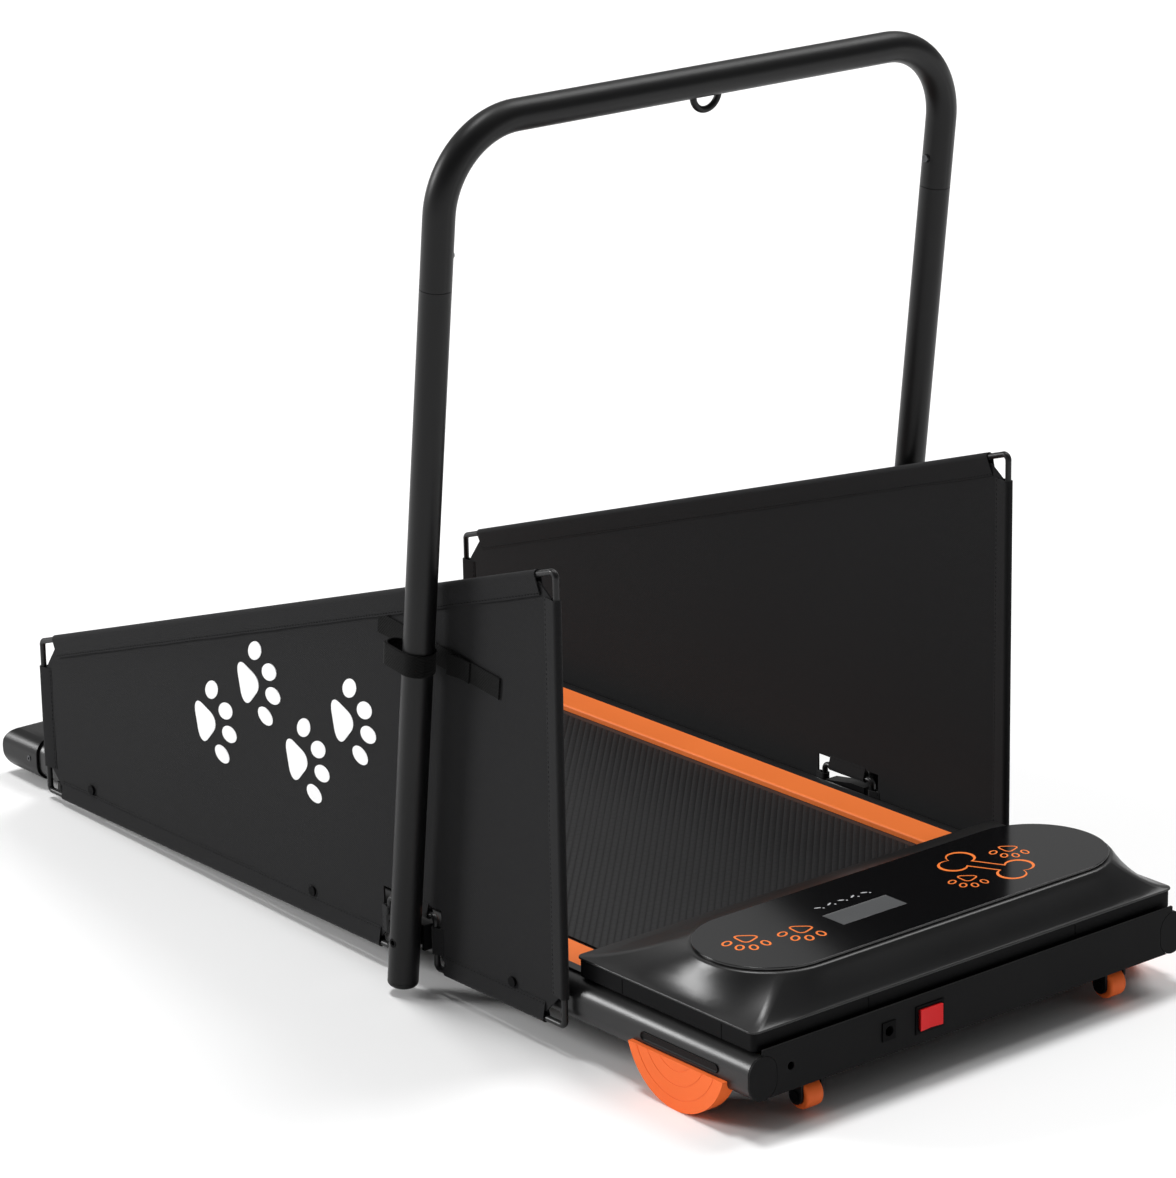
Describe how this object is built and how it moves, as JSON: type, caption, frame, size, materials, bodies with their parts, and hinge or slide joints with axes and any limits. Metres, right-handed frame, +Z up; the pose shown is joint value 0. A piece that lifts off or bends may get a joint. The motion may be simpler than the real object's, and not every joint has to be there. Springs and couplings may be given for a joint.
{
  "type": "dog treadmill",
  "caption": "Low motorised dog treadmill with a running belt, orange landing strips, fabric side panels on bent rods and a leash gantry that folds back over the deck.",
  "frame": {"origin": "on the floor, under the middle of the treadmill's length and width", "axes": "+Z up, +Y from the console to the rear end, +X to the right seen from behind the console"},
  "size_m": [0.693, 1.2958, 0.9282],
  "materials": {
    "rail_paint": "satin black powder coat",
    "beam_paint": "satin black powder coat",
    "tube_paint": "satin dark grey powder coat",
    "rod_steel": "satin black powder coat",
    "cap_plastic": "fine moulded grain",
    "cover_plastic": "satin moulded",
    "overlay_gloss": "glossy",
    "display_glass": "clear over grey",
    "orange_plastic": "fine grained",
    "belt_rubber": "diamond ribbed",
    "deck_wood": "waxed board",
    "roller_steel": "turned",
    "pulley_metal": "turned",
    "bracket_steel": "matt black",
    "screw_steel": "black oxide",
    "motor_paint": "satin",
    "drive_rubber": "matt",
    "board_green": "solder resist",
    "switch_black": "satin",
    "switch_red": "glossy red",
    "foot_rubber": "matt",
    "caster_plastic": "satin",
    "panel_fabric": "plain weave",
    "strap_web": "webbing",
    "button_steel": "blackened",
    "spring_steel": "bright"
  },
  "bodies": {
    "frame": {"rail_left": "rail_paint", "rail_right": "rail_paint", "rail_front_plugs": "cap_plastic", "front_beam": "beam_paint", "cross_members": "beam_paint", "rear_cap_left": "cap_plastic", "rear_cap_right": "cap_plastic", "deck_board": "deck_wood", "landing_strip_left": "orange_plastic", "landing_strip_right": "orange_plastic", "running_belt": "belt_rubber", "front_bearing_blocks": "bracket_steel", "rear_roller_shaft": "roller_steel", "rear_shaft_blocks": "bracket_steel", "motor_tray": "beam_paint", "motor_mount": "bracket_steel", "motor": "motor_paint", "drive_belt": "drive_rubber", "motor_controller": "board_green", "motor_cover": "cover_plastic", "console_overlay": "overlay_gloss", "display_window": "display_glass", "display_board": "board_green", "switch_bezel": "switch_black", "power_inlet": "switch_black", "rocker_foot_left": "orange_plastic", "rocker_foot_right": "orange_plastic", "foot_inserts": "switch_black", "rear_feet": "foot_rubber", "caster_fork_left": "caster_plastic", "caster_fork_right": "caster_plastic", "caster_axles": "screw_steel", "panel_rod_left": "rod_steel", "panel_rod_right": "rod_steel", "panel_cloth_left": "panel_fabric", "panel_cloth_right": "panel_fabric", "panel_spacers": "cap_plastic", "panel_screws": "screw_steel", "post_bracket_left": "bracket_steel", "post_bracket_right": "bracket_steel", "pivot_pins": "screw_steel", "strap_bands": "strap_web"},
    "drive_roller": {"front_roller": "roller_steel", "drive_pulley": "pulley_metal"},
    "tail_roller": {"rear_roller": "roller_steel"},
    "rotor": {"motor_rotor": "pulley_metal"},
    "rocker": {"switch_rocker": "switch_red"},
    "caster_left": {"caster_wheel_left": "orange_plastic"},
    "caster_right": {"caster_wheel_right": "orange_plastic"},
    "gantry": {"lower_post_left": "tube_paint", "lower_post_right": "tube_paint", "post_plugs": "cap_plastic", "gantry_bow": "tube_paint", "leash_ring": "tube_paint", "strap_loops": "strap_web", "snap_springs": "spring_steel"},
    "button_left": {"snap_button_left": "button_steel"},
    "button_right": {"snap_button_right": "button_steel"}
  },
  "joints": [
    {"name": "gantry_fold", "type": "hinge", "parent": "frame", "child": "gantry", "pos_m": [0, -0.15474, 0.05938], "axis": [-1, 0, 0], "range_deg": [0, 96.5]},
    {"name": "button_left_press", "type": "slide", "parent": "gantry", "child": "button_left", "axis": [-1, 0, 0], "range_m": [0, 0.003], "stiffness_N_per_m": 800},
    {"name": "button_right_press", "type": "slide", "parent": "gantry", "child": "button_right", "axis": [1, 0, 0], "range_m": [0, 0.003], "stiffness_N_per_m": 800},
    {"name": "switch_rock", "type": "hinge", "parent": "frame", "child": "rocker", "pos_m": [-0.062, -0.63864, 0.06509], "axis": [0, 0.0241, 0.9997], "range_deg": [-6, 6]},
    {"name": "caster_left_spin", "type": "hinge", "parent": "frame", "child": "caster_left", "pos_m": [-0.206, -0.6257, 0.02101], "axis": [1, 0, 0], "continuous": true},
    {"name": "caster_right_spin", "type": "hinge", "parent": "frame", "child": "caster_right", "pos_m": [0.206, -0.6257, 0.02101], "axis": [1, 0, 0], "continuous": true},
    {"name": "drive_roller_spin", "type": "hinge", "parent": "frame", "child": "drive_roller", "pos_m": [0, -0.42986, 0.05331], "axis": [1, 0, 0], "continuous": true},
    {"name": "tail_roller_spin", "type": "hinge", "parent": "frame", "child": "tail_roller", "pos_m": [0, 0.61183, 0.02821], "axis": [1, 0, 0], "continuous": true},
    {"name": "rotor_spin", "type": "hinge", "parent": "frame", "child": "rotor", "pos_m": [0, -0.55316, 0.08379], "axis": [1, 0, 0], "continuous": true}
  ],
  "couplings": [
    {"joint": "tail_roller_spin", "follows": "drive_roller_spin", "ratio": 1},
    {"joint": "rotor_spin", "follows": "drive_roller_spin", "ratio": 2}
  ]
}
